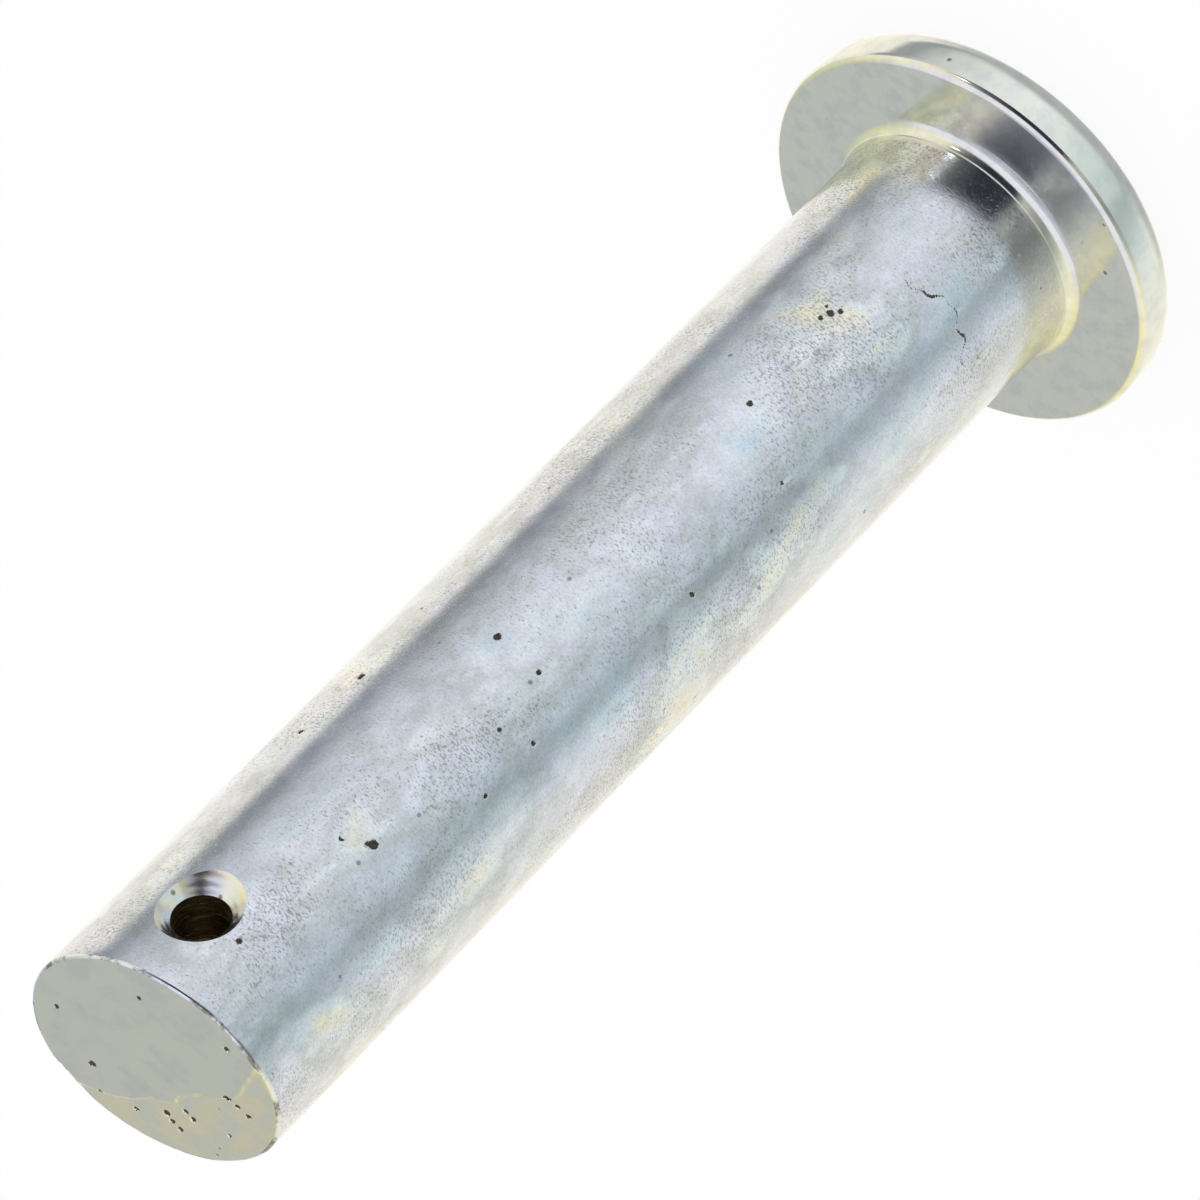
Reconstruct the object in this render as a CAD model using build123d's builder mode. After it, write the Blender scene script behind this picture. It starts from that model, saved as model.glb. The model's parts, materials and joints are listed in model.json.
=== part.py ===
"""Clevis pin: one turned and headed steel pin, zinc plated.

The pin stands on its head. The origin is the centre of the head's outer face, +Z runs
along the shank to the tail, and the cross hole runs along Y. All lengths are millimetres
and all angles are degrees.
"""

import os
from math import radians, tan

from build123d import *

# Head: a flat disc, upset from the bar
head_diameter = 20.0
head_thickness = 3.0
outer_edge_radius = 1.7  # soft edge that the heading die leaves round the outer face
seat_edge_radius = 0.4  # crisper edge round the seat, the face under the head

# Shank
shank_diameter = 12.0
shank_length = 58.7  # from the seat to the sheared end, on the axis
root_radius = 0.7  # small fillet where the shank meets the seat

# Cross hole for a split pin
hole_diameter = 2.6
hole_to_end = 4.0  # from the hole's axis to the sheared end, on the pin's axis
countersink_diameter = 4.2
countersink_angle = 90.0

# Tail: the bar was sheared off, so its end leans, and the last of it broke away lower
shear_angle = 5.7
shear_bearing = -32.0  # the side that the sheared face rises to, turned from +X
tear_angle = 3.0  # how much more steeply the broken face falls
tear_bearing = 117.0  # the side that the broken face falls to, turned from +X
tear_offset = 1.95  # from the pin's axis to the line where the broken face starts
tail_edge_radius = 0.15

# Sizes that follow from those above
head_radius = head_diameter / 2
shank_radius = shank_diameter / 2
overall_length = head_thickness + shank_length
hole_height = overall_length - hole_to_end
bar_allowance = shank_radius * tan(radians(shear_angle)) + tail_edge_radius
bar_length = overall_length + bar_allowance + tear_offset * tan(radians(tear_angle))

# The two faces of the tail: local X points uphill on the sheared face and downhill on
# the broken one, which starts from a line across the sheared face
sheared_face = Location((0, 0, overall_length)) * Rot(Z=shear_bearing) * Rot(Y=-shear_angle)
tear_line = sheared_face * Rot(Z=tear_bearing - shear_bearing) * Pos(X=tear_offset)
broken_face = tear_line * Rot(Y=tear_angle)

# The mouths of the cross hole, on the front and the back of the shank
front_mouth = Plane(origin=(0, -shank_radius, hole_height), x_dir=(1, 0, 0), z_dir=(0, -1, 0))
back_mouth = Plane(origin=(0, shank_radius, hole_height), x_dir=(-1, 0, 0), z_dir=(0, 1, 0))

with BuildPart() as clevis_pin:
    # Half of the lengthwise section, turned about the pin's axis
    with BuildSketch(Plane.XZ):
        with BuildLine():
            outer_flat = Line((0, 0), (head_radius - outer_edge_radius, 0))
            outer_edge = TangentArc(
                outer_flat @ 1, (head_radius, outer_edge_radius), tangent=outer_flat % 1
            )
            rim = Line(outer_edge @ 1, (head_radius, head_thickness - seat_edge_radius))
            seat_edge = TangentArc(
                rim @ 1, (head_radius - seat_edge_radius, head_thickness), tangent=rim % 1
            )
            seat = Line(seat_edge @ 1, (shank_radius + root_radius, head_thickness))
            root = TangentArc(seat @ 1, (shank_radius, head_thickness + root_radius), tangent=seat % 1)
            Polyline(root @ 1, (shank_radius, bar_length), (0, bar_length), (0, 0))
        make_face()
    revolve(axis=Axis.Z)

    # Shear the bar off, then break the low side away
    split(bisect_by=Plane(sheared_face), keep=Keep.BOTTOM)
    split(bisect_by=Plane(broken_face), keep=Keep.BOTTOM)
    tail_faces = clevis_pin.faces().filter_by(GeomType.PLANE).sort_by(Axis.Z)[-2:]
    tail_rim = tail_faces.edges().filter_by(GeomType.LINE, reverse=True)
    fillet(tail_rim, tail_edge_radius)

    # Drill the cross hole from both sides and ease its mouths
    with Locations(front_mouth, back_mouth):
        CounterSinkHole(
            hole_diameter / 2,
            countersink_diameter / 2,
            depth=shank_radius,
            counter_sink_angle=countersink_angle,
        )

clevis_pin.part.label = "clevis_pin"

os.makedirs("parts", exist_ok=True)
export_step(clevis_pin.part, "parts/clevis_pin.step")
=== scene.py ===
"""Looks of a zinc plated clevis pin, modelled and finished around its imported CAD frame.

The pin stands on its head at the origin, its tail up +Z, its cross hole along Y. Blender's
unit is the metre. Shape sizes below are in metres, and the textures are laid out in
millimetres, so a noise scale of 2 means two features to the millimetre.
"""

import json
import math

import bmesh
import bpy
from bpy.props import FloatProperty, FloatVectorProperty, IntProperty, PointerProperty
from mathutils import Matrix, Vector, noise


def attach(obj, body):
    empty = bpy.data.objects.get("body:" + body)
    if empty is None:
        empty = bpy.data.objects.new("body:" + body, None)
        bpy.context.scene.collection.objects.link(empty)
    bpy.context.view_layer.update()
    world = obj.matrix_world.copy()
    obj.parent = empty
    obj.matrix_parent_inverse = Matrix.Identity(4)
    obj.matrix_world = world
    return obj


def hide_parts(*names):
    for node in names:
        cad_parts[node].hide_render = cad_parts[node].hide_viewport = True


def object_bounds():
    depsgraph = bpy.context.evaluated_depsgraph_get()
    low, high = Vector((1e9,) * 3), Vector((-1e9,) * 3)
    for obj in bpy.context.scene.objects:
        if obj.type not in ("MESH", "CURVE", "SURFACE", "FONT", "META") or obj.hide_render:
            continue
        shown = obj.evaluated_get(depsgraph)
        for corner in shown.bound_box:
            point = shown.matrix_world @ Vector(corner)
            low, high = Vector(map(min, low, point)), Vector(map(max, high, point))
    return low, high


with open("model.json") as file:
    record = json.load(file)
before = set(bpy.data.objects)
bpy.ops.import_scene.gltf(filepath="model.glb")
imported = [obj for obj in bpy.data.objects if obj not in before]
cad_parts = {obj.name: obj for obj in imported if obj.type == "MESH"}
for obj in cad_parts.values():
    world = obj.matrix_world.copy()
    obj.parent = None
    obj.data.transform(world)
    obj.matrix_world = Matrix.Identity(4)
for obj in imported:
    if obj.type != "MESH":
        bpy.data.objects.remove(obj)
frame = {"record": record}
CAD_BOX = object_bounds()

bl_info = {
    "name": "Clevis Pin",
    "version": (1, 0, 0),
    "blender": (4, 5, 0),
    "location": "3D View > Sidebar > Clevis Pin",
    "description": "Builds a zinc plated clevis pin with a sheared tail, and its studio",
    "category": "Object",
}

MM = 0.001
NODE = "clevis_pin"
MOUNTS = {mount["name"]: mount for mount in frame["record"]["mounts"]}

# Sizes that the frame already holds
HEAD_RADIUS = CAD_BOX[1][0]
SEAT_HEIGHT = MOUNTS["seat"]["pos_m"][2]
SHANK_RADIUS = MOUNTS["shank"]["dims"]["r_mm"] * MM
HOLE_HEIGHT = MOUNTS["cross_hole"]["pos_m"][2]
HOLE_RADIUS = MOUNTS["cross_hole"]["dims"]["r_mm"] * MM
BORE_HALF = MOUNTS["cross_hole"]["dims"]["length_mm"] * MM / 2
TAIL_TOP = CAD_BOX[1][2]

# Material slots of the pin, in their order on the mesh
SHANK, HEAD, SHEARED, BROKEN, TAIL_EDGE, COUNTERSINK, BORE, PIT = range(8)

# Faces that meet at a sharper angle than this keep a crisp edge between them
SHARP_ANGLE = math.radians(32)


# ---------------------------------------------------------------- settings


def linear(hex_colour):
    """An sRGB hex colour as linear red, green and blue."""
    channels = [int(hex_colour[i : i + 2], 16) / 255 for i in (0, 2, 4)]
    return tuple(c / 12.92 if c <= 0.04045 else ((c + 0.055) / 1.055) ** 2.4 for c in channels)


def length(name, description, default):
    return FloatProperty(
        name=name, description=description, default=default, unit="LENGTH", precision=5
    )


def angle(name, description, degrees):
    radians = math.radians(degrees)
    return FloatProperty(name=name, description=description, default=radians, subtype="ANGLE")


def colour(name, description, hex_colour):
    return FloatVectorProperty(
        name=name,
        description=description,
        default=linear(hex_colour),
        subtype="COLOR",
        size=3,
        min=0,
        max=1,
    )


class ClevisPinShape(bpy.types.PropertyGroup):
    """Sizes of the forms that the mounts do not give."""

    outer_edge_radius: length("Outer edge", "Soft edge round the head's outer face", 1.7 * MM)
    seat_edge_radius: length("Seat edge", "Crisper edge round the face under the head", 0.4 * MM)
    root_radius: length("Root fillet", "Fillet between the shank and the head", 0.7 * MM)
    tail_edge_radius: length("Tail edge", "Rounding round the sheared end", 0.15 * MM)
    shear_angle: angle("Shear lean", "How far the sheared end leans", 5.7)
    shear_bearing: angle("Shear bearing", "Side that the sheared end rises to, turned from +X", -32)
    tear_angle: angle("Tear lean", "How much more steeply the broken face falls", 3)
    tear_bearing: angle("Tear bearing", "Side that the broken face falls to, turned from +X", 117)
    tear_step: length("Tear step", "Drop at the torn edge", 0.07 * MM)
    turns: IntProperty(name="Turns", description="Facets round the pin", default=240, min=48)
    row: length("Row", "Distance between the rings of faces along the shank", 0.5 * MM)
    tail_row: length("Tail row", "Distance between the rings of faces on the tail", 0.12 * MM)
    mark_mesh: length("Mark mesh", "Length of the edges that shape a pit", 0.07 * MM)


class ClevisPinFinish(bpy.types.PropertyGroup):
    """Colours of the zinc and its passivation film."""

    zinc: colour("Zinc", "Clear blue passivated zinc", "DDE2EA")
    film_blue: colour("Blue film", "Where the film turns pale blue", "CBDDEC")
    film_cream: colour("Cream film", "Where the film turns cream", "EBE5D3")
    film_grey: colour("Grey film", "Where the film is thin and dull", "CDD0D4")
    film_lilac: colour("Lilac film", "Where the film turns faintly lilac", "DADBE8")
    head_zinc: colour("Head zinc", "Brighter, greener zinc on the upset head", "E4E6E0")
    sheared_zinc: colour("Sheared zinc", "Zinc over the sheared face", "DCDFD6")
    broken_zinc: colour("Broken zinc", "Yellow film over the broken face", "E9E3CC")
    pit: colour("Pit", "Dark bottom of a fine pit", "5C5950")
    bare_steel: colour("Bare steel", "Dull steel where the zinc is gone", "5A5246")
    bore_dark: colour("Bore dark", "Unplated steel inside the cross hole", "7A6848")
    bore_light: colour("Bore light", "Drilling rings inside the cross hole", "CFC4A8")


class ClevisPinStudio(bpy.types.PropertyGroup):
    """The camera, the lamp and the floor."""

    camera_azimuth: angle("Azimuth", "Camera's side of the pin: 0 looks along +Y", -32)
    camera_elevation: angle("Elevation", "Camera's height above the horizon", 33)
    camera_roll: angle("Roll", "Camera's turn about its own axis", -135.53)
    camera_distance: length("Distance", "From the camera to the pin's axis", 472.3 * MM)
    aim_height: length("Aim height", "Height on the pin that the camera looks at", 29.85 * MM)
    aim_side: length("Aim side", "How far right of the axis it aims, before its roll", 0.2 * MM)
    lens: FloatProperty(
        name="Lens",
        description="Focal length",
        default=328.6,
        subtype="DISTANCE_CAMERA",
    )
    lamp_azimuth: angle("Lamp azimuth", "Side of the small lamp, from the camera's side", 54)
    lamp_elevation: angle("Lamp elevation", "Small lamp's height above the horizon", 21.5)
    lamp_distance: length("Lamp distance", "From the small lamp to the head", 500 * MM)
    lamp_size: length("Lamp size", "Side of the small square lamp", 30 * MM)
    lamp_power: FloatProperty(
        name="Lamp power",
        description="Power of the small lamp",
        default=0.04,
        unit="POWER",
    )
    floor_radius: length("Floor radius", "Radius of the white floor", 3000 * MM)


# ---------------------------------------------------------------- mesh tools


def bearing_vector(bearing):
    """A level unit vector at this bearing from +X."""
    return Vector((math.cos(bearing), math.sin(bearing), 0))


def smooth_step(low, high, value):
    """0 below low, 1 above high, and smooth between."""
    t = min(max((value - low) / (high - low), 0), 1)
    return t * t * (3 - 2 * t)


def ring_edges(bm, radius, height, tolerance=0.01 * MM):
    """The edges of the circle about Z with this radius and height."""

    def on_ring(vert):
        off_height = abs(vert.co.z - height)
        off_radius = abs(math.hypot(vert.co.x, vert.co.y) - radius)
        return off_height < tolerance and off_radius < tolerance

    return [edge for edge in bm.edges if all(on_ring(vert) for vert in edge.verts)]


def flat_cap(bm, height, tolerance=0.01 * MM):
    """The one flat face whose corners all lie at this height, nearest the axis."""
    level = [face for face in bm.faces if all(abs(v.co.z - height) < tolerance for v in face.verts)]
    return min(level, key=lambda face: face.calc_center_median().to_2d().length)


def round_ring(bm, radius, height, offset, segments):
    """Rounds one circular edge with an arc of radius offset."""
    bmesh.ops.bevel(
        bm,
        geom=ring_edges(bm, radius, height),
        offset=offset,
        segments=segments,
        affect="EDGES",
        profile=0.5,
        material=-1,
    )


def new_piece(name, bm, materials):
    """Turns a bmesh into an object at the origin, with these materials in its slots."""
    mesh = bpy.data.meshes.new(name)
    bm.to_mesh(mesh)
    bm.free()
    piece = bpy.data.objects.new(name, mesh)
    bpy.context.scene.collection.objects.link(piece)
    for material in materials:
        mesh.materials.append(material)
    return piece


# ---------------------------------------------------------------- pin


def turn_blank(bm, shape, end_height):
    """Upsets the head, draws out the shank and rounds every turned edge."""
    bmesh.ops.create_cone(
        bm,
        cap_ends=True,
        segments=shape.turns,
        radius1=HEAD_RADIUS,
        radius2=HEAD_RADIUS,
        depth=SEAT_HEIGHT,
        matrix=Matrix.Translation((0, 0, SEAT_HEIGHT / 2)),
    )
    seat = flat_cap(bm, SEAT_HEIGHT)
    rim = HEAD_RADIUS - SHANK_RADIUS
    bmesh.ops.inset_region(bm, faces=[seat], thickness=rim, use_even_offset=True)
    cap = flat_cap(bm, SEAT_HEIGHT)
    extruded = bmesh.ops.extrude_face_region(bm, geom=[cap])["geom"]
    bmesh.ops.delete(bm, geom=[cap], context="FACES_KEEP_BOUNDARY")
    tail_verts = [item for item in extruded if isinstance(item, bmesh.types.BMVert)]
    bmesh.ops.translate(bm, verts=tail_verts, vec=(0, 0, end_height - SEAT_HEIGHT))

    round_ring(bm, HEAD_RADIUS, 0, shape.outer_edge_radius, segments=10)
    round_ring(bm, HEAD_RADIUS, SEAT_HEIGHT, shape.seat_edge_radius, segments=5)
    round_ring(bm, SHANK_RADIUS, SEAT_HEIGHT, shape.root_radius, segments=8)
    round_ring(bm, SHANK_RADIUS, end_height, shape.tail_edge_radius, segments=3)


def cut_rows(bm, shape, end_height):
    """Divides the end cap into rings, and the shank into rows."""
    cap = flat_cap(bm, end_height)
    rings = int((SHANK_RADIUS - shape.tail_edge_radius) / shape.tail_row) - 1
    for _ in range(rings):
        bmesh.ops.inset_region(bm, faces=[cap], thickness=shape.tail_row, use_even_offset=True)
    bmesh.ops.poke(bm, faces=[cap])
    bottom, top = SEAT_HEIGHT + shape.root_radius, end_height - shape.tail_edge_radius
    wall = top - bottom
    # Only the straight wall has edges nearly as tall as itself
    wall_edges = [
        edge
        for edge in bm.edges
        if abs(edge.verts[0].co.z - edge.verts[1].co.z) > 0.9 * wall
    ]
    cuts = round(wall / shape.row) - 1
    bmesh.ops.subdivide_edges(bm, edges=wall_edges, cuts=cuts)


# Where the sheared face gives way to the broken one: distances along the torn edge and from
# the pin's axis to it, in millimetres. A tongue of the sheared face stands out at its middle.
TORN_EDGE = (
    (-6.1, -0.10),
    (-4.9, 0.93),
    (-3.6, 1.85),
    (-2.6, 2.00),
    (-1.6, 1.80),
    (-0.2, 1.88),
    (0.4, 2.30),
    (1.0, 2.35),
    (1.5, 2.00),
    (3.1, 2.16),
    (4.2, 1.95),
    (5.4, 1.45),
    (6.1, -0.60),
)
# How far the torn edge strays from that line, in millimetres
TORN_EDGE_STRAY = 0.11

# Past the torn edge, the runs over which the surface steps down and turns rough, and the
# height of its roughness. The whole tail swells and sinks by TAIL_SWELL.
STEP_RUN = 0.14 * MM
ROUGH_RUN = 0.3 * MM
ROUGHNESS = 0.012 * MM
TAIL_SWELL = 0.03 * MM


def torn_edge(along):
    """How far from the axis the torn edge runs, at a place along it, with a ragged line."""
    along = min(max(along / MM, TORN_EDGE[0][0]), TORN_EDGE[-1][0])
    for (left, near), (right, far) in zip(TORN_EDGE, TORN_EDGE[1:]):
        if along <= right:
            straight = near + (far - near) * (along - left) / (right - left)
            break
    stray = noise.fractal(Vector((along * 1.7, 3.1, 0)), 1.0, 2.0, 4)
    return (straight + TORN_EDGE_STRAY * stray) * MM


def tear_place(shape, place):
    """How far a place lies towards the broken side, and how far along the torn edge."""
    down = place.dot(bearing_vector(shape.tear_bearing))
    along = place.dot(bearing_vector(shape.tear_bearing - math.pi / 2))
    return down, along


def tail_rise(shape, x, y):
    """How far the tail's surface stands above the square end, at x and y."""
    place = Vector((x, y, 0))
    rise = place.dot(bearing_vector(shape.shear_bearing)) * math.tan(shape.shear_angle)
    down, along = tear_place(shape, place)
    past = down - torn_edge(along)
    step = shape.tear_step * smooth_step(0, STEP_RUN, past)
    fall = max(past, 0) * math.tan(shape.tear_angle)
    grain = noise.fractal(place / MM * 2.5, 1.0, 2.0, 5)
    rough = ROUGHNESS * smooth_step(0, ROUGH_RUN, past) * grain
    swell = TAIL_SWELL * noise.noise(place / MM * 0.35)
    return rise - step - fall + rough + swell


def shear_tail(bm, shape, end_height):
    """Leans the end over, tears its low side away, and lets the wall below it follow."""
    straight_above_hole = 1.0 * MM
    follow_from = HOLE_HEIGHT + HOLE_RADIUS + straight_above_hole
    for vert in bm.verts:
        share = smooth_step(follow_from, end_height - shape.tail_edge_radius, vert.co.z)
        if share:
            vert.co.z += share * tail_rise(shape, vert.co.x, vert.co.y)


# Larger marks on the shank: height, bearing in degrees, radius and depth, in millimetres.
SHANK_PITS = (
    (50.3, -124, 0.28, 0.10),
    (51.1, -113, 0.13, 0.07),
    (38.4, -100, 0.20, 0.08),
    (38.5, -123, 0.15, 0.10),
    (41.9, -128, 0.11, 0.07),
    (41.0, -142, 0.12, 0.08),
    (44.5, -143, 0.12, 0.07),
    (43.0, -63, 0.20, 0.08),
    (46.9, -60, 0.14, 0.07),
    (29.9, -146, 0.14, 0.08),
    (21.0, -107, 0.17, 0.06),
    (22.7, -140, 0.12, 0.05),
    (58.1, -113, 0.16, 0.05),
    (14.6, -104.5, 0.20, 0.05),
    (14.2, -107.3, 0.15, 0.05),
    (15.1, -103.0, 0.14, 0.04),
    (14.4, -101.3, 0.11, 0.04),
)

# Nicks on the tail: x, y, radius and depth, in millimetres.
TAIL_NICKS = (
    (1.45, 4.02, 0.16, 0.10),
    (-0.13, 3.39, 0.20, 0.12),
    (-0.31, 3.81, 0.15, 0.10),
    (-0.66, 4.21, 0.17, 0.11),
    (-1.15, 2.71, 0.15, 0.10),
    (-1.45, 3.10, 0.17, 0.12),
    (-3.55, 0.45, 0.20, 0.13),
    (-4.00, 0.79, 0.15, 0.09),
    (-4.43, 1.25, 0.14, 0.07),
    (-3.18, 3.25, 0.10, 0.06),
    (3.22, 3.70, 0.12, 0.08),
    (-4.00, -3.03, 0.17, 0.08),
    (0.16, -4.02, 0.15, 0.05),
    (3.31, 1.97, 0.20, 0.04),
    (4.68, -1.02, 0.16, 0.05),
)

# The thin scratch near the head: its marks, the bearings of its ends in degrees, then in
# millimetres its height, how far it sags between its ends, how far it wanders, and its depth.
SCRATCH_MARKS = 62
SCRATCH_START, SCRATCH_END = -118, -164
SCRATCH_HEIGHT, SCRATCH_SAG, SCRATCH_WANDER = 10.75, 0.9, 0.5
SCRATCH_DEPTH = 0.02

# Shares of a mark's radius: inside the first it is down to steel, inside the second its
# bottom is flat, and at the third its side has come up to the surface.
MARK_STEEL, MARK_BOTTOM, MARK_RIM = 0.85, 0.35, 1.1


def refine_near(bm, marks, finest, passes=4):
    """Halves the longer edges round each mark, until they are fine enough to shape it."""

    def near_a_mark(edge):
        # A long edge counts from further off, so the mesh grows finer by degrees
        margin = 0.7 * edge.calc_length()
        return any(
            (edge.verts[0].co - centre).length < 1.4 * radius + margin
            for centre, _, radius, _ in marks
        )

    for _ in range(passes):
        coarse = [
            edge for edge in bm.edges if edge.calc_length() > finest and near_a_mark(edge)
        ]
        bmesh.ops.subdivide_edges(bm, edges=coarse, cuts=1, use_grid_fill=True)


def ragged_distance(place, centre):
    """Distance from a mark's centre, with noise that makes the mark's outline ragged."""
    raggedness = 0.5 * noise.noise(place / MM * 4)
    return (place - centre).length * (1 + raggedness)


def scratch_marks():
    """The scratch: a run of small marks round the shank, which fades in and out."""
    marks = []
    for index in range(SCRATCH_MARKS):
        share = index / (SCRATCH_MARKS - 1)
        bearing = math.radians(SCRATCH_START + share * (SCRATCH_END - SCRATCH_START))
        outward = bearing_vector(bearing)
        sag = SCRATCH_SAG * math.sin(math.pi * share) ** 2
        wander = SCRATCH_WANDER * noise.noise(Vector((share * 7, 0, 5)))
        height = (SCRATCH_HEIGHT - sag + wander) * MM
        weight = max(noise.noise(Vector((share * 6, 2, 0))) + 0.12, 0)
        radius = (0.03 + 0.11 * weight) * MM
        centre = outward * SHANK_RADIUS + Vector((0, 0, height))
        marks.append((centre, -outward, radius, SCRATCH_DEPTH * MM))
    return marks


def mark_surface(bm, shape, end_height):
    """Presses the larger pits and nicks into the shank and the tail, with ragged outlines."""
    marks = scratch_marks()
    for height, bearing, radius, depth in SHANK_PITS:
        outward = bearing_vector(math.radians(bearing))
        centre = outward * SHANK_RADIUS + Vector((0, 0, height * MM))
        marks.append((centre, -outward, radius * MM, depth * MM))
    for x, y, radius, depth in TAIL_NICKS:
        height = end_height + tail_rise(shape, x * MM, y * MM)
        centre = Vector((x * MM, y * MM, height))
        marks.append((centre, Vector((0, 0, -1)), radius * MM, depth * MM))
    refine_near(bm, marks, shape.mark_mesh)
    for face in bm.faces:
        place = face.calc_center_median()
        if any(
            ragged_distance(place, centre) < MARK_STEEL * radius
            for centre, _, radius, _ in marks
        ):
            face.material_index = PIT
    for vert in bm.verts:
        for centre, inward, radius, depth in marks:
            if (vert.co - centre).length < 2 * radius:
                reach = ragged_distance(vert.co, centre)
                risen = smooth_step(MARK_BOTTOM * radius, MARK_RIM * radius, reach)
                vert.co += inward * depth * (1 - risen)


def assign_slots(bm, shape, end_height):
    """Gives each face its finish by where it lies on the blank."""
    hair = 0.001 * MM
    for face in bm.faces:
        centre = face.calc_center_median()
        if centre.z < SEAT_HEIGHT + shape.root_radius:
            face.material_index = HEAD
        elif centre.z < end_height - shape.tail_edge_radius:
            face.material_index = SHANK
        elif centre.z < end_height - hair:
            face.material_index = TAIL_EDGE
        else:
            down, along = tear_place(shape, centre)
            face.material_index = BROKEN if down > torn_edge(along) else SHEARED
        face.smooth = True


def hole_drill(materials):
    """A drill that is a cylinder through the shank, opening into a ridged cone at each mouth."""
    bm = bmesh.new()
    bmesh.ops.create_cone(
        bm,
        cap_ends=True,
        segments=96,
        radius1=HOLE_RADIUS,
        radius2=HOLE_RADIUS,
        depth=2 * BORE_HALF,
        matrix=Matrix.Translation((0, 0, HOLE_HEIGHT)) @ Matrix.Rotation(math.pi / 2, 4, "X"),
    )
    for face in bm.faces:
        face.material_index = BORE
        face.smooth = True
    ridges = 9
    past_surface = 0.35 * MM
    step = (SHANK_RADIUS - BORE_HALF + past_surface) / ridges
    for side in (-1, 1):
        mouth = next(face for face in bm.faces if face.normal.y * side > 0.9)
        for ridge in range(ridges):
            # Steps a little flatter and a little steeper than 45 degrees leave the ridges
            flare = step * (1.1 if ridge % 2 else 0.9)
            radius = max(v.co.x for v in mouth.verts)
            mouth = bmesh.ops.extrude_discrete_faces(bm, faces=[mouth])["faces"][0]
            bmesh.ops.translate(bm, verts=mouth.verts, vec=(0, side * step, 0))
            out = side * (BORE_HALF + (ridge + 1) * step)
            bmesh.ops.scale(
                bm,
                verts=mouth.verts,
                vec=[(radius + flare) / radius] * 3,
                space=Matrix.Translation((0, -out, -HOLE_HEIGHT)),
            )
        for face in bm.faces:
            if abs(face.calc_center_median().y) > BORE_HALF:
                face.material_index = COUNTERSINK
                face.smooth = True
    bmesh.ops.recalc_face_normals(bm, faces=bm.faces)
    return new_piece("hole_drill", bm, materials)


def drill_hole(piece, materials):
    """Cuts the cross hole and leaves a plain mesh behind."""
    drill = hole_drill(materials)
    cut = piece.modifiers.new("cross hole", "BOOLEAN")
    cut.operation = "DIFFERENCE"
    cut.solver = "EXACT"
    cut.object = drill
    evaluated = piece.evaluated_get(bpy.context.evaluated_depsgraph_get())
    drilled = bpy.data.meshes.new_from_object(evaluated)
    piece.modifiers.clear()
    blank = piece.data
    piece.data = drilled
    drilled.name = blank.name
    bpy.data.meshes.remove(blank)
    bpy.data.meshes.remove(drill.data)
    drilled.set_sharp_from_angle(angle=SHARP_ANGLE)


# ---------------------------------------------------------------- materials


def add(tree, kind, inputs=None, **settings):
    """Adds one node. Inputs are sockets to link or values to set."""
    node = tree.nodes.new(kind)
    for name, value in settings.items():
        setattr(node, name, value)
    for socket, value in (inputs or {}).items():
        if isinstance(value, bpy.types.NodeSocket):
            tree.links.new(value, node.inputs[socket])
        else:
            node.inputs[socket].default_value = value
    return node


def set_stops(node, stops):
    """Fills a colour ramp from (position, colour) pairs."""
    elements = node.color_ramp.elements
    while len(elements) < len(stops):
        elements.new(1)
    for element, (position, rgb) in zip(elements, stops):
        element.position = position
        element.color = (*rgb, 1)
    return node


def new_material(name):
    """An empty metal material and its object coordinates in millimetres."""
    material = bpy.data.materials.new(name)
    material.use_nodes = True
    tree = material.node_tree
    tree.nodes.clear()
    coordinates = add(tree, "ShaderNodeTexCoord")
    millimetres = add(
        tree,
        "ShaderNodeMapping",
        {"Vector": coordinates.outputs["Object"], "Scale": (1 / MM, 1 / MM, 1 / MM)},
    )
    return material, tree, millimetres.outputs["Vector"]


def stretched(tree, place, scale):
    """The place scaled unevenly, so that a texture draws out along the small scales."""
    return add(tree, "ShaderNodeMapping", {"Vector": place, "Scale": scale}).outputs["Vector"]


def noise_of(tree, place, scale, detail=3.0, roughness=0.5):
    """Noise with this many features to the millimetre."""
    inputs = {"Vector": place, "Scale": scale, "Detail": detail, "Roughness": roughness}
    return add(tree, "ShaderNodeTexNoise", inputs).outputs["Fac"]


def remap(tree, value, from_low, from_high, to_low=0.0, to_high=1.0):
    """Eases a value from the first span into the second, and holds it inside that."""
    spans = {"From Min": from_low, "From Max": from_high, "To Min": to_low, "To Max": to_high}
    return add(
        tree,
        "ShaderNodeMapRange",
        {"Value": value, **spans},
        interpolation_type="SMOOTHSTEP",
    ).outputs["Result"]


def combine(tree, operation, first, second):
    return add(tree, "ShaderNodeMath", {0: first, 1: second}, operation=operation).outputs["Value"]


def blend(tree, share, first, second, kind="MIX"):
    """Mixes two colours."""
    node = add(tree, "ShaderNodeMix", data_type="RGBA", blend_type=kind)
    for index, value in ((0, share), (6, first), (7, second)):
        if isinstance(value, bpy.types.NodeSocket):
            tree.links.new(value, node.inputs[index])
        else:
            node.inputs[index].default_value = (*value, 1) if index else value
    return node.outputs[2]


def pit_mask(tree, place, scale, size, density):
    """1 inside scattered pits. Density is the share of cells that hold one."""
    cells = add(tree, "ShaderNodeTexVoronoi", {"Vector": place, "Scale": scale, "Randomness": 1.0})
    near = remap(tree, cells.outputs["Distance"], size, size * 0.45)
    draw = add(tree, "ShaderNodeSeparateColor", {"Color": cells.outputs["Color"]}).outputs["Red"]
    chosen = combine(tree, "LESS_THAN", draw, density)
    return combine(tree, "MULTIPLY", near, chosen)


def metal_output(tree, colour_socket, roughness, height, bump_distance):
    """Ends a metal: full metallic, with its colour, roughness and bump."""
    relief = {"Height": height, "Strength": 1.0, "Distance": bump_distance}
    surface = {
        "Base Color": colour_socket,
        "Metallic": 1.0,
        "Roughness": roughness,
        "Normal": add(tree, "ShaderNodeBump", relief).outputs["Normal"],
    }
    shader = add(tree, "ShaderNodeBsdfPrincipled", surface)
    add(tree, "ShaderNodeOutputMaterial", {"Surface": shader.outputs["BSDF"]})


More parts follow.
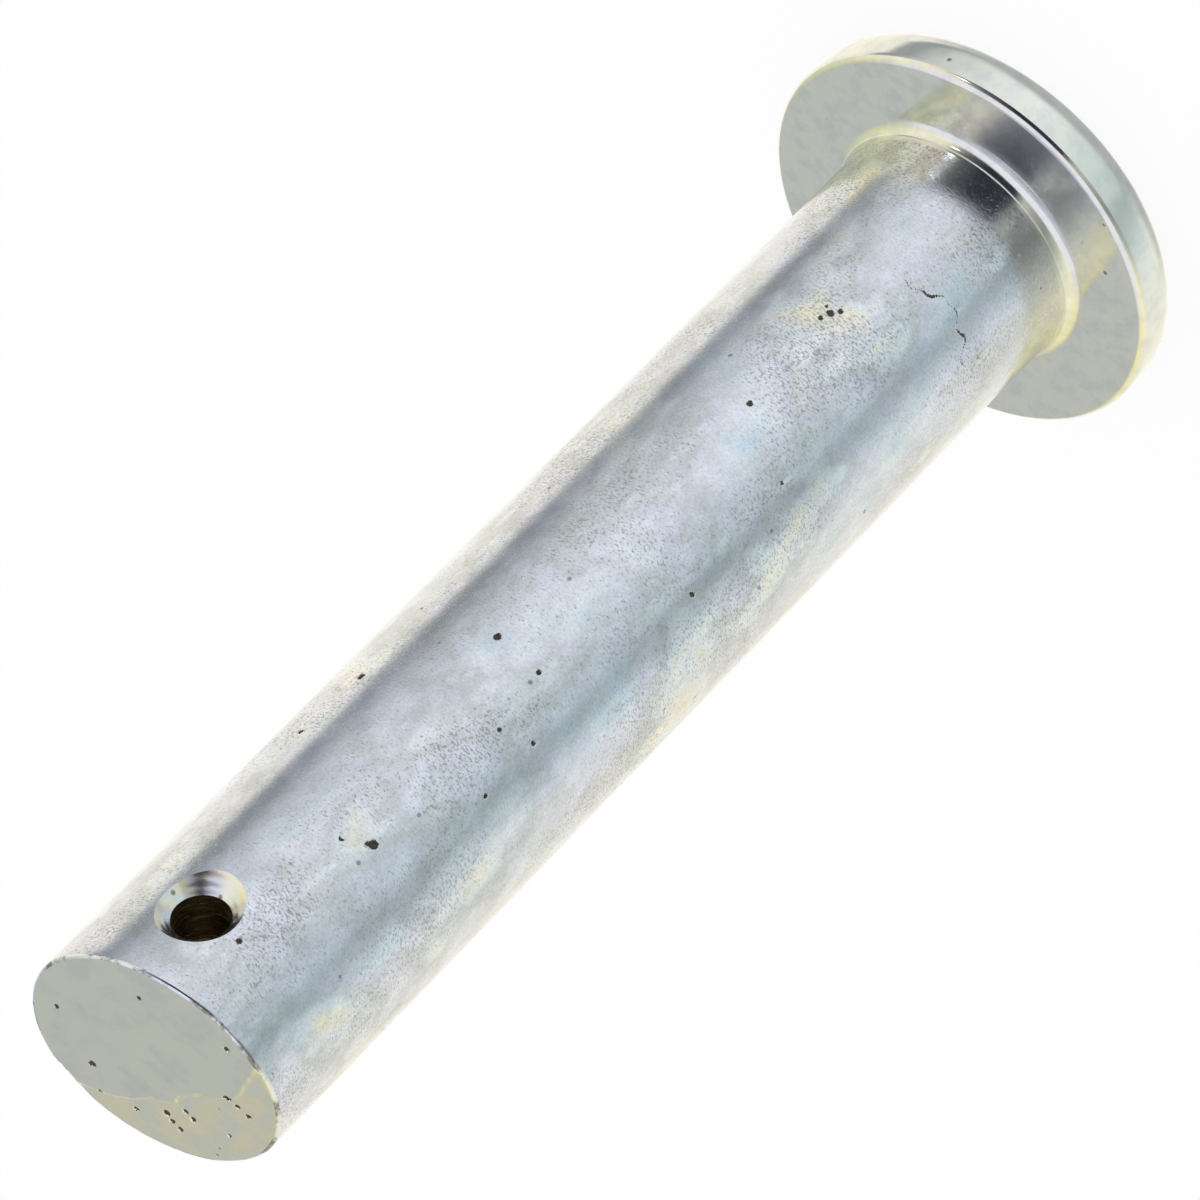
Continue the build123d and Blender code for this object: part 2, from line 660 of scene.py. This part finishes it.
def shank_zinc(finish):
    """Clear blue passivated zinc over drawn bar: satin, mottled by its film, finely pitted."""
    material, tree, place = new_material("blue_passivated_zinc_on_drawn_bar")
    drawn = stretched(tree, place, (1, 1, 0.6))
    patches = noise_of(tree, drawn, 0.22, detail=5.0, roughness=0.6)
    film = set_stops(
        add(tree, "ShaderNodeValToRGB", {"Fac": patches}),
        [
            (0.32, finish.film_blue),
            (0.41, finish.zinc),
            (0.48, finish.film_lilac),
            (0.54, finish.film_grey),
            (0.60, finish.zinc),
            (0.70, finish.film_cream),
        ],
    ).outputs["Color"]
    clouds = noise_of(tree, drawn, 0.9, detail=5.0, roughness=0.65)
    # Turning marks run round the bar, so the grain is short along Z
    turned = stretched(tree, place, (1, 1, 1.7))
    grain = noise_of(tree, turned, 6.2, detail=3.0, roughness=0.7)
    # Fine pits crowd together in patches a few millimetres wide. They are drawn a little
    # coarser than real ones, so that they show.
    crowding = remap(tree, noise_of(tree, drawn, 0.2, detail=3.0), 0.38, 0.64, -0.07, 0.06)
    flecks = remap(tree, combine(tree, "ADD", grain, crowding), 0.60, 0.68)
    sparse_pits = pit_mask(tree, place, 0.5, 0.07, 0.6)
    pits = combine(tree, "MAXIMUM", combine(tree, "MULTIPLY", flecks, 0.5), sparse_pits)

    cloud_shade = remap(tree, clouds, 0.3, 0.7, 0.88, 1.05)
    grain_shade = remap(tree, grain, 0.25, 0.7, 1.08, 0.86)
    shaded = blend(tree, 1.0, film, combine(tree, "MULTIPLY", cloud_shade, grain_shade), "MULTIPLY")
    pitted = blend(tree, combine(tree, "MULTIPLY", pits, 0.6), shaded, finish.pit)
    satin = remap(tree, clouds, 0.3, 0.7, 0.17, 0.13)
    roughness = combine(tree, "ADD", satin, combine(tree, "MULTIPLY", pits, 0.2))
    height = combine(tree, "SUBTRACT", combine(tree, "MULTIPLY", grain, 0.35), pits)
    metal_output(tree, pitted, roughness, height, 0.016 * MM)
    return material


def head_zinc(finish):
    """Zinc over faces smoothed by the heading die: near mirror bright, a few dark dots."""
    material, tree, place = new_material("bright_zinc_on_upset_head")
    clouds = noise_of(tree, place, 1.1, detail=5.0, roughness=0.6)
    dulled = remap(tree, clouds, 0.42, 0.66, 0.0, 0.5)
    tinted = blend(tree, dulled, finish.head_zinc, finish.film_grey)
    dots = pit_mask(tree, place, 0.45, 0.07, 0.5)
    dotted = blend(tree, combine(tree, "MULTIPLY", dots, 0.75), tinted, finish.pit)
    grain = noise_of(tree, place, 5.0, detail=3.0)
    polish = remap(tree, clouds, 0.3, 0.7, 0.10, 0.15)
    roughness = combine(tree, "ADD", polish, combine(tree, "MULTIPLY", dots, 0.3))
    height = combine(tree, "SUBTRACT", combine(tree, "MULTIPLY", grain, 0.15), dots)
    metal_output(tree, dotted, roughness, height, 0.012 * MM)
    return material


def sheared_zinc(finish):
    """Zinc over the burnished part of the sheared end: even grey green, faintly grained."""
    material, tree, place = new_material("zinc_on_sheared_face")
    clouds = noise_of(tree, place, 0.45, detail=5.0, roughness=0.6)
    dulled = remap(tree, clouds, 0.45, 0.65, 0.0, 0.6)
    tinted = blend(tree, dulled, finish.sheared_zinc, finish.film_grey)
    dots = pit_mask(tree, place, 1.1, 0.10, 0.35)
    dotted = blend(tree, combine(tree, "MULTIPLY", dots, 0.5), tinted, finish.pit)
    grain = noise_of(tree, place, 7.0, detail=3.0)
    roughness = combine(tree, "ADD", 0.2, combine(tree, "MULTIPLY", dots, 0.3))
    height = combine(tree, "SUBTRACT", combine(tree, "MULTIPLY", grain, 0.1), dots)
    metal_output(tree, dotted, roughness, height, 0.012 * MM)
    return material


def broken_zinc(finish):
    """Zinc over the torn part of the end: rougher, its thick film gone yellow in patches."""
    material, tree, place = new_material("zinc_on_broken_face")
    clouds = noise_of(tree, place, 0.6, detail=5.0, roughness=0.65)
    tinted = blend(tree, remap(tree, clouds, 0.42, 0.60), finish.broken_zinc, finish.sheared_zinc)
    dots = pit_mask(tree, place, 1.6, 0.16, 0.35)
    dotted = blend(tree, combine(tree, "MULTIPLY", dots, 0.6), tinted, finish.pit)
    grain = noise_of(tree, place, 5.0, detail=4.0, roughness=0.65)
    roughness = combine(tree, "ADD", 0.24, combine(tree, "MULTIPLY", dots, 0.3))
    height = combine(tree, "SUBTRACT", combine(tree, "MULTIPLY", grain, 0.25), dots)
    metal_output(tree, dotted, roughness, height, 0.02 * MM)
    return material


def worn_edge(finish):
    """The sharp edge of the sheared end: the zinc is worn off it in places, down to dull steel."""
    material, tree, place = new_material("worn_zinc_on_sheared_edge")
    wear = remap(tree, noise_of(tree, place, 0.7, detail=4.0, roughness=0.7), 0.46, 0.62, 0.0, 0.75)
    worn = blend(tree, wear, finish.zinc, finish.bare_steel)
    grain = noise_of(tree, place, 6.0, detail=3.0)
    roughness = combine(tree, "ADD", 0.16, combine(tree, "MULTIPLY", wear, 0.3))
    metal_output(tree, worn, roughness, grain, 0.004 * MM)
    return material


def pitted_steel(finish):
    """The bottom of a deep pit or nick: no zinc, dull brown steel."""
    material, tree, place = new_material("bare_steel_in_pits")
    mottle = remap(tree, noise_of(tree, place, 6.0, detail=3.0), 0.35, 0.65)
    metal_output(tree, blend(tree, mottle, finish.bare_steel, finish.pit), 0.55, mottle, 0.01 * MM)
    return material


def countersink_zinc(finish):
    """Zinc over a turned countersink: bright rings round the hole."""
    material, tree, place = new_material("zinc_on_turned_countersink")
    from_hole = {"Vector": place, "Location": (0, 0, -HOLE_HEIGHT / MM)}
    centred = add(tree, "ShaderNodeMapping", from_hole).outputs["Vector"]
    rings = add(
        tree,
        "ShaderNodeTexWave",
        {"Vector": centred, "Scale": 1.1, "Distortion": 1.5, "Detail": 3.0, "Detail Scale": 2.0},
        wave_type="RINGS",
        rings_direction="Y",
    ).outputs["Fac"]
    clouds = noise_of(tree, place, 1.2, detail=4.0)
    tinted = blend(tree, remap(tree, clouds, 0.4, 0.6), finish.zinc, finish.film_cream)
    nicks = pit_mask(tree, place, 1.3, 0.22, 0.3)
    nicked = blend(tree, combine(tree, "MULTIPLY", nicks, 0.6), tinted, finish.pit)
    roughness = combine(tree, "ADD", 0.22, combine(tree, "MULTIPLY", nicks, 0.3))
    metal_output(tree, nicked, roughness, rings, 0.004 * MM)
    return material


def bore_steel(finish):
    """Drilled steel inside the hole, where plating hardly reaches: brown, ringed by the drill."""
    material, tree, place = new_material("bare_drilled_steel")
    rings_place = stretched(tree, place, (0.5, 4.0, 0.5))
    rings = noise_of(tree, rings_place, 1.6, detail=4.0, roughness=0.6)
    striped = blend(tree, remap(tree, rings, 0.50, 0.68), finish.bore_dark, finish.bore_light)
    metal_output(tree, striped, 0.5, rings, 0.03 * MM)
    return material


# ---------------------------------------------------------------- studio

# What lies round the pin, as bright metal sees it: degrees round from the camera's side, then
# the light that comes from below the horizon on that side, or from above it.
LOW_LIGHT = (
    (-180, (1.15, 1.13, 1.10)),
    (-150, (1.15, 1.09, 0.98)),
    (-125, (1.15, 1.09, 0.94)),
    (-107, (1.06, 1.03, 0.94)),
    (-101, (0.37, 0.40, 0.42)),
    (-90, (0.40, 0.42, 0.43)),
    (-78, (0.66, 0.69, 0.68)),
    (-60, (0.82, 0.85, 0.84)),
    (-40, (0.95, 0.98, 0.98)),
    (-20, (1.00, 1.03, 1.03)),
    (0, (0.90, 0.95, 0.95)),
    (20, (0.76, 0.84, 0.83)),
    (38, (0.67, 0.76, 0.77)),
    (48, (0.48, 0.56, 0.55)),
    (58, (0.57, 0.64, 0.65)),
    (70, (0.76, 0.85, 0.84)),
    (80, (0.91, 0.96, 0.93)),
    (90, (0.98, 1.00, 0.93)),
    (110, (1.02, 1.02, 0.91)),
    (140, (1.06, 1.02, 0.87)),
    (165, (1.10, 1.06, 0.93)),
    (180, (1.15, 1.13, 1.10)),
)
HIGH_LIGHT = (
    (-180, (0.60, 0.62, 0.61)),
    (-158, (0.60, 0.62, 0.58)),
    (-140, (0.76, 0.76, 0.52)),
    (-115, (0.96, 0.94, 0.68)),
    (-90, (1.10, 1.05, 0.84)),
    (-72, (1.12, 1.01, 0.84)),
    (-61, (0.90, 0.83, 0.68)),
    (-54, (0.40, 0.39, 0.34)),
    (-42, (0.13, 0.14, 0.14)),
    (-24, (0.03, 0.03, 0.04)),
    (6, (0.04, 0.04, 0.06)),
    (16, (0.60, 0.60, 0.55)),
    (28, (0.46, 0.46, 0.42)),
    (42, (0.31, 0.32, 0.29)),
    (60, (0.53, 0.54, 0.48)),
    (80, (0.90, 0.90, 0.72)),
    (100, (1.16, 1.10, 0.80)),
    (122, (1.10, 1.02, 0.72)),
    (145, (1.06, 0.96, 0.56)),
    (160, (0.62, 0.62, 0.56)),
    (180, (0.60, 0.62, 0.61)),
)
CEILING = (1.00, 0.98, 1.08)
SHADED_FLOOR = (0.52, 0.54, 0.55)
WHITE = (1.0, 1.0, 1.0)

# Where one part of the room gives way to the next, as the height of a unit direction
CEILING_EDGE = (math.sin(math.radians(42)), math.sin(math.radians(58)))
HORIZON_EDGE = (-0.05, 0.05)
SHADE_EDGE = (-0.72, -0.95)


def light_round(tree, direction, azimuth, stops):
    """A colour by the bearing of a direction, counted from the camera's side."""
    turned = add(
        tree,
        "ShaderNodeVectorRotate",
        {"Vector": direction, "Angle": -azimuth},
        rotation_type="Z_AXIS",
    )
    parts = add(tree, "ShaderNodeSeparateXYZ", {"Vector": turned.outputs["Vector"]}).outputs
    # The camera's side is -Y once the direction is turned, and bearings grow towards -X
    sideways = combine(tree, "MULTIPLY", parts["X"], -1.0)
    facing = combine(tree, "MULTIPLY", parts["Y"], -1.0)
    bearing = combine(tree, "ARCTAN2", sideways, facing)
    share = add(
        tree,
        "ShaderNodeMapRange",
        {"Value": bearing, "From Min": -math.pi, "From Max": math.pi},
    ).outputs["Result"]
    ramp = add(tree, "ShaderNodeValToRGB", {"Fac": share})
    round_stops = [((degrees + 180) / 360, rgb) for degrees, rgb in stops]
    return set_stops(ramp, round_stops).outputs["Color"]


def mix_shaders(tree, share, first, second):
    """The second shader by this share, and the first by the rest."""
    return add(tree, "ShaderNodeMixShader", {"Fac": share, 1: first, 2: second}).outputs["Shader"]


def floor_material():
    """White floor with a faint shadow, through which metal sees the room's light from below."""
    shadow_share = 0.09
    material = bpy.data.materials.new("white_studio_floor")
    material.use_nodes = True
    material.cycles.emission_sampling = "NONE"
    tree = material.node_tree
    tree.nodes.clear()
    rays = add(tree, "ShaderNodeLightPath").outputs
    white = add(tree, "ShaderNodeEmission", {"Color": (1, 1, 1, 1)}).outputs["Emission"]
    paper = add(tree, "ShaderNodeBsdfDiffuse", {"Color": (0.95, 0.95, 0.95, 1)}).outputs["BSDF"]
    clear = add(tree, "ShaderNodeBsdfTransparent").outputs["BSDF"]
    to_camera = mix_shaders(tree, shadow_share, white, paper)
    to_metal = mix_shaders(tree, rays["Is Glossy Ray"], paper, clear)
    surface = mix_shaders(tree, rays["Is Camera Ray"], to_metal, to_camera)
    add(tree, "ShaderNodeOutputMaterial", {"Surface": surface})
    return material


def light_room(azimuth):
    """Lights the room: white to the camera and to the floor, its own light and dark to metal."""
    world = bpy.data.worlds.new("studio_room")
    bpy.context.scene.world = world
    world.use_nodes = True
    world.cycles.sampling_method = "NONE"
    tree = world.node_tree
    tree.nodes.clear()
    direction = add(tree, "ShaderNodeTexCoord").outputs["Generated"]
    rays = add(tree, "ShaderNodeLightPath").outputs
    height = add(tree, "ShaderNodeSeparateXYZ", {"Vector": direction}).outputs["Z"]
    low = light_round(tree, direction, azimuth, LOW_LIGHT)
    high = light_round(tree, direction, azimuth, HIGH_LIGHT)
    below = blend(tree, remap(tree, height, *SHADE_EDGE), low, SHADED_FLOOR)
    walls = blend(tree, remap(tree, height, *HORIZON_EDGE), below, high)
    room = blend(tree, remap(tree, height, *CEILING_EDGE), walls, CEILING)
    shown = blend(tree, rays["Is Glossy Ray"], WHITE, room)
    background = add(tree, "ShaderNodeBackground", {"Color": shown, "Strength": 1.0})
    add(tree, "ShaderNodeOutputWorld", {"Surface": background.outputs["Background"]})


def side_direction(azimuth, elevation):
    """From the pin towards this azimuth and elevation, where azimuth 0 is -Y."""
    level = math.cos(elevation)
    return Vector((math.sin(azimuth) * level, -math.cos(azimuth) * level, math.sin(elevation)))


def add_lamp(studio):
    """A small square lamp, turned from the camera's side, that looks at the head."""
    lamp = bpy.data.lights.new("small_lamp", "AREA")
    lamp.size, lamp.energy = studio.lamp_size, studio.lamp_power
    holder = bpy.data.objects.new("small_lamp", lamp)
    aim = Vector((0, 0, SEAT_HEIGHT))
    back = side_direction(studio.camera_azimuth + studio.lamp_azimuth, studio.lamp_elevation)
    holder.location = aim + back * studio.lamp_distance
    holder.rotation_euler = back.to_track_quat("Z", "Y").to_euler()
    holder.visible_camera = False
    bpy.context.scene.collection.objects.link(holder)


def add_camera(studio):
    """A long lens, turned on its side so that the pin lies across the picture."""
    camera = bpy.data.cameras.new("camera")
    camera.lens, camera.sensor_width = studio.lens, 36
    camera.clip_start, camera.clip_end = 0.01, 10
    holder = bpy.data.objects.new("camera", camera)
    back = side_direction(studio.camera_azimuth, studio.camera_elevation)
    level_turn = back.to_track_quat("Z", "Y").to_matrix()
    aim = Vector((0, 0, studio.aim_height)) + level_turn @ Vector((studio.aim_side, 0, 0))
    turn = level_turn @ Matrix.Rotation(studio.camera_roll, 3, "Z")
    holder.matrix_world = Matrix.Translation(aim + back * studio.camera_distance) @ turn.to_4x4()
    bpy.context.scene.collection.objects.link(holder)
    bpy.context.scene.camera = holder


# ---------------------------------------------------------------- add-on


class CLEVISPIN_OT_add_pin(bpy.types.Operator):
    """Add the clevis pin: head, shank, cross hole and sheared tail as one mesh"""

    bl_idname = "clevis_pin.add_pin"
    bl_label = "Add Pin"

    def execute(self, context):
        shape, finish = context.scene.clevis_pin_shape, context.scene.clevis_pin_finish
        end_height = TAIL_TOP - SHANK_RADIUS * math.tan(shape.shear_angle)
        materials = [
            make(finish)
            for make in (
                shank_zinc,
                head_zinc,
                sheared_zinc,
                broken_zinc,
                worn_edge,
                countersink_zinc,
                bore_steel,
                pitted_steel,
            )
        ]
        bm = bmesh.new()
        turn_blank(bm, shape, end_height)
        cut_rows(bm, shape, end_height)
        assign_slots(bm, shape, end_height)
        shear_tail(bm, shape, end_height)
        mark_surface(bm, shape, end_height)
        piece = new_piece("clevis_pin_body", bm, materials)
        drill_hole(piece, materials)
        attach(piece, "root")
        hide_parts(NODE)
        return {"FINISHED"}


class CLEVISPIN_OT_add_studio(bpy.types.Operator):
    """Add the white floor, the room's light, the small lamp and the camera"""

    bl_idname = "clevis_pin.add_studio"
    bl_label = "Add Studio"

    def execute(self, context):
        studio = context.scene.clevis_pin_studio
        bm = bmesh.new()
        bmesh.ops.create_circle(bm, cap_ends=True, segments=128, radius=studio.floor_radius)
        floor = new_piece("floor", bm, [floor_material()])
        light_room(studio.camera_azimuth)
        add_lamp(studio)
        add_camera(studio)
        context.scene.view_settings.view_transform = "Standard"
        return {"FINISHED"}


class CLEVISPIN_PT_panel(bpy.types.Panel):
    """Lists the pin's settings and the buttons that build it"""

    bl_label = "Clevis Pin"
    bl_idname = "CLEVISPIN_PT_panel"
    bl_space_type = "VIEW_3D"
    bl_region_type = "UI"
    bl_category = "Clevis Pin"

    def draw(self, context):
        for title, group, operator in (
            ("Shape", context.scene.clevis_pin_shape, CLEVISPIN_OT_add_pin),
            ("Finish", context.scene.clevis_pin_finish, None),
            ("Studio", context.scene.clevis_pin_studio, CLEVISPIN_OT_add_studio),
        ):
            box = self.layout.box()
            box.label(text=title)
            for name in group.__annotations__:
                box.prop(group, name)
            if operator:
                box.operator(operator.bl_idname)


CLASSES = (
    ClevisPinShape,
    ClevisPinFinish,
    ClevisPinStudio,
    CLEVISPIN_OT_add_pin,
    CLEVISPIN_OT_add_studio,
    CLEVISPIN_PT_panel,
)
GROUPS = {
    "clevis_pin_shape": ClevisPinShape,
    "clevis_pin_finish": ClevisPinFinish,
    "clevis_pin_studio": ClevisPinStudio,
}


def register():
    for cls in CLASSES:
        bpy.utils.register_class(cls)
    for name, group in GROUPS.items():
        setattr(bpy.types.Scene, name, PointerProperty(type=group))


def unregister():
    for name in GROUPS:
        delattr(bpy.types.Scene, name)
    for cls in reversed(CLASSES):
        bpy.utils.unregister_class(cls)


def main():
    register()
    bpy.ops.clevis_pin.add_pin()
    bpy.ops.clevis_pin.add_studio()


if __name__ == "__main__":
    main()
